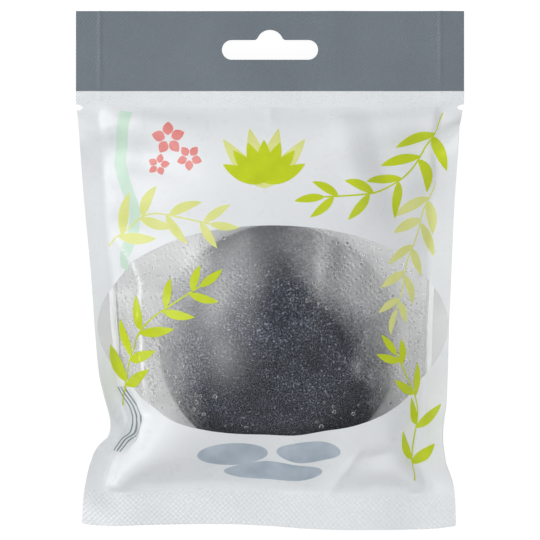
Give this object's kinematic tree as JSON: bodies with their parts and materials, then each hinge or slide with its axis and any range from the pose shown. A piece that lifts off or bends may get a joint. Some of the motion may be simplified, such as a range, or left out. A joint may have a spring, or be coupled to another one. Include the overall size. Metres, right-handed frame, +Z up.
{
  "type": "konjac sponge in a hang pouch",
  "caption": "Half-ball charcoal konjac sponge in a flat heat-sealed film pouch with a clear oval window, a tear-off header with tear notches and a hang slot.",
  "frame": {"origin": "on the table, under the middle of the pouch's outline, with the pouch lying on its back", "axes": "+X across the pouch to the right seen from the front, +Y along it towards the hang header, +Z up out of the printed front"},
  "size_m": [0.13, 0.1738, 0.0372],
  "materials": {
    "charcoal_sponge": "open-pored damp charcoal konjac fibre, matt",
    "white_film": "white printed laminate film, satin gloss",
    "clear_film": "clear laminate film with a light haze of condensation inside",
    "grey_film": "grey printed laminate film over a white edge, cross-hatched by the heat seal",
    "sealant": "fused sealant layer between the two webs"
  },
  "bodies": {
    "pouch": {"front_panel": "white_film", "front_window": "clear_film", "back_panel": "white_film", "left_side_seal": "sealant", "right_side_seal": "sealant", "bottom_seal": "sealant"},
    "tear_off_header": {"header_front": "grey_film", "header_back": "white_film", "header_seal": "sealant"},
    "sponge": {"sponge": "charcoal_sponge"}
  },
  "joints": [
    {"name": "header_tear_off", "type": "slide", "parent": "pouch", "child": "tear_off_header", "axis": [0, 1, 0], "range_m": [0, 0.18]},
    {"name": "sponge_pull_out", "type": "slide", "parent": "pouch", "child": "sponge", "axis": [0, 1, 0], "range_m": [0, 0.136], "deforming": ["front_panel", "front_window", "back_panel"]}
  ],
  "couplings": [
    {"joint": "sponge_pull_out", "follows": "header_tear_off", "ratio": 0.75}
  ]
}
